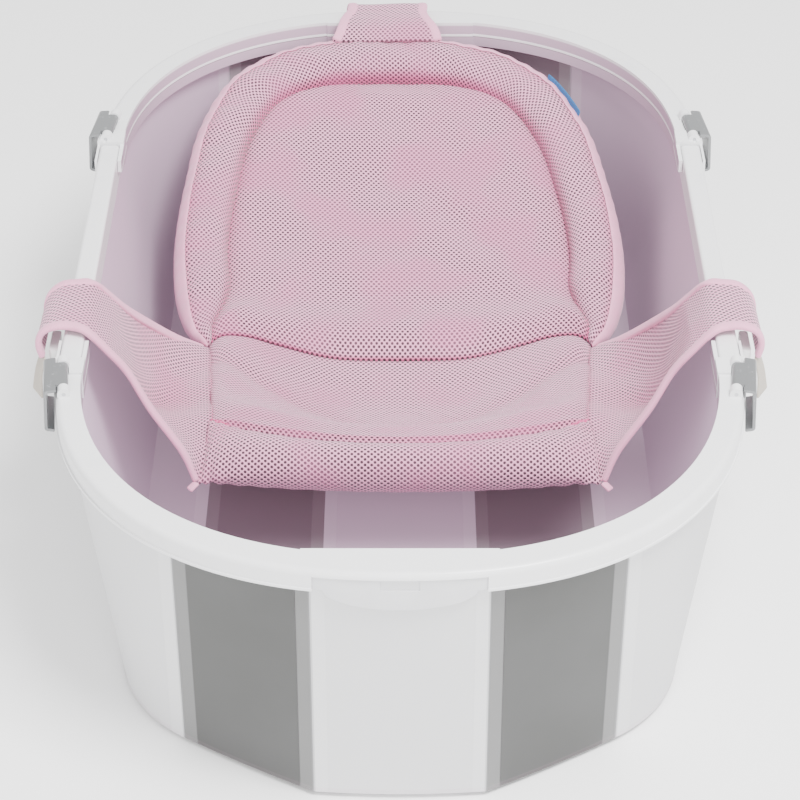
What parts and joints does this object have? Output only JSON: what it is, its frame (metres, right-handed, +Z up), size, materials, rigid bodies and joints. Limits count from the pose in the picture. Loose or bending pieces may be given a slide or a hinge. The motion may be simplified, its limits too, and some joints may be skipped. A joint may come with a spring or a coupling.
{
  "type": "baby bathtub",
  "caption": "Oval baby bathtub with striped stiff walls, a white frame whose end rims fold up, outside clips and a lift-off padded mesh sling.",
  "frame": {"origin": "middle of the footprint, on the surface that the tub stands on", "axes": "+Z up, +Y towards the head end (the reclined back of the sling), +X to the right as seen from the foot end"},
  "size_m": [0.524, 0.8728, 0.2118],
  "materials": {
    "frame_white": "smooth moulded white plastic",
    "grip_white": "smooth moulded white plastic",
    "clip_grey": "satin grey extrusion",
    "pin_steel": "plain steel pin",
    "panel_white": "fine grained stiff panel",
    "panel_grey": "fine grained stiff panel with a flexible band beside each seam",
    "floor_white": "fine grained stiff panel",
    "floor_grey": "fine grained stiff panel",
    "foot_rubber": "soft pale rubber",
    "drain_white": "moulded plastic",
    "plug_grey": "soft grey rubber",
    "mesh_pink": "padded spacer mesh with small holes",
    "hook_white": "moulded plastic with a pale webbing tab",
    "label_blue": "blank woven tab"
  },
  "bodies": {
    "tub": {"rail_left": "frame_white", "rail_right": "frame_white", "collar_pins_front": "pin_steel", "collar_pins_rear": "pin_steel", "centre_front_panel": "panel_white", "centre_rear_panel": "panel_white", "grey_front_panel_left": "panel_grey", "grey_front_panel_right": "panel_grey", "grey_rear_panel_left": "panel_grey", "grey_rear_panel_right": "panel_grey", "side_shell_left": "panel_white", "side_shell_right": "panel_white", "floor_strip_centre": "floor_white", "floor_strip_grey_left": "floor_grey", "floor_strip_grey_right": "floor_grey", "floor_strip_side_left": "floor_white", "floor_strip_side_right": "floor_white", "drain_seat": "drain_white", "foot_front": "foot_rubber", "foot_rear": "foot_rubber", "foot_front_left": "foot_rubber", "foot_front_right": "foot_rubber", "foot_rear_left": "foot_rubber", "foot_rear_right": "foot_rubber"},
    "front_rim": {"rim_front": "frame_white", "grip_front": "grip_white", "clip_pins_front": "pin_steel"},
    "rear_rim": {"rim_rear": "frame_white", "grip_rear": "grip_white", "clip_pins_rear": "pin_steel"},
    "drain_plug": {"drain_plug": "plug_grey"},
    "sling": {"sling_back_ring": "mesh_pink", "sling_back_panel": "mesh_pink", "sling_side_label": "label_blue", "sling_seat_panel": "mesh_pink", "sling_front_roll": "mesh_pink", "sling_strap_left": "mesh_pink", "sling_strap_right": "mesh_pink", "sling_strap_top": "mesh_pink", "strap_hook_left": "hook_white", "strap_hook_right": "hook_white", "strap_hook_top": "hook_white"},
    "clip_front_left": {"clip_front_left": "clip_grey"},
    "clip_front_right": {"clip_front_right": "clip_grey"},
    "clip_rear_left": {"clip_rear_left": "clip_grey"},
    "clip_rear_right": {"clip_rear_right": "clip_grey"}
  },
  "joints": [
    {"name": "front_rim_fold", "type": "hinge", "parent": "tub", "child": "front_rim", "pos_m": [0, -0.155, 0.199], "axis": [-1, 0, 0], "range_deg": [0, 90]},
    {"name": "rear_rim_fold", "type": "hinge", "parent": "tub", "child": "rear_rim", "pos_m": [0, 0.155, 0.199], "axis": [1, 0, 0], "range_deg": [0, 90]},
    {"name": "clip_front_left_turn", "type": "hinge", "parent": "front_rim", "child": "clip_front_left", "pos_m": [-0.2435, -0.1965, 0.2072], "axis": [-0.1045, 0.9945, 0], "range_deg": [0, 110]},
    {"name": "clip_front_right_turn", "type": "hinge", "parent": "front_rim", "child": "clip_front_right", "pos_m": [0.2435, -0.1965, 0.2072], "axis": [-0.1045, -0.9945, 0], "range_deg": [0, 110]},
    {"name": "clip_rear_left_turn", "type": "hinge", "parent": "rear_rim", "child": "clip_rear_left", "pos_m": [-0.2435, 0.1965, 0.2072], "axis": [0.1045, 0.9945, 0], "range_deg": [0, 110]},
    {"name": "clip_rear_right_turn", "type": "hinge", "parent": "rear_rim", "child": "clip_rear_right", "pos_m": [0.2435, 0.1965, 0.2072], "axis": [0.1045, -0.9945, 0], "range_deg": [0, 110]},
    {"name": "sling_lift", "type": "slide", "parent": "tub", "child": "sling", "axis": [0, 0, 1], "range_m": [0, 0.5]},
    {"name": "drain_plug_lift", "type": "slide", "parent": "tub", "child": "drain_plug", "axis": [0, 0, 1], "range_m": [0, 0.03]}
  ],
  "couplings": [
    {"joint": "sling_lift", "follows": "rear_rim_fold", "m_per_rad": 0.3183}
  ]
}
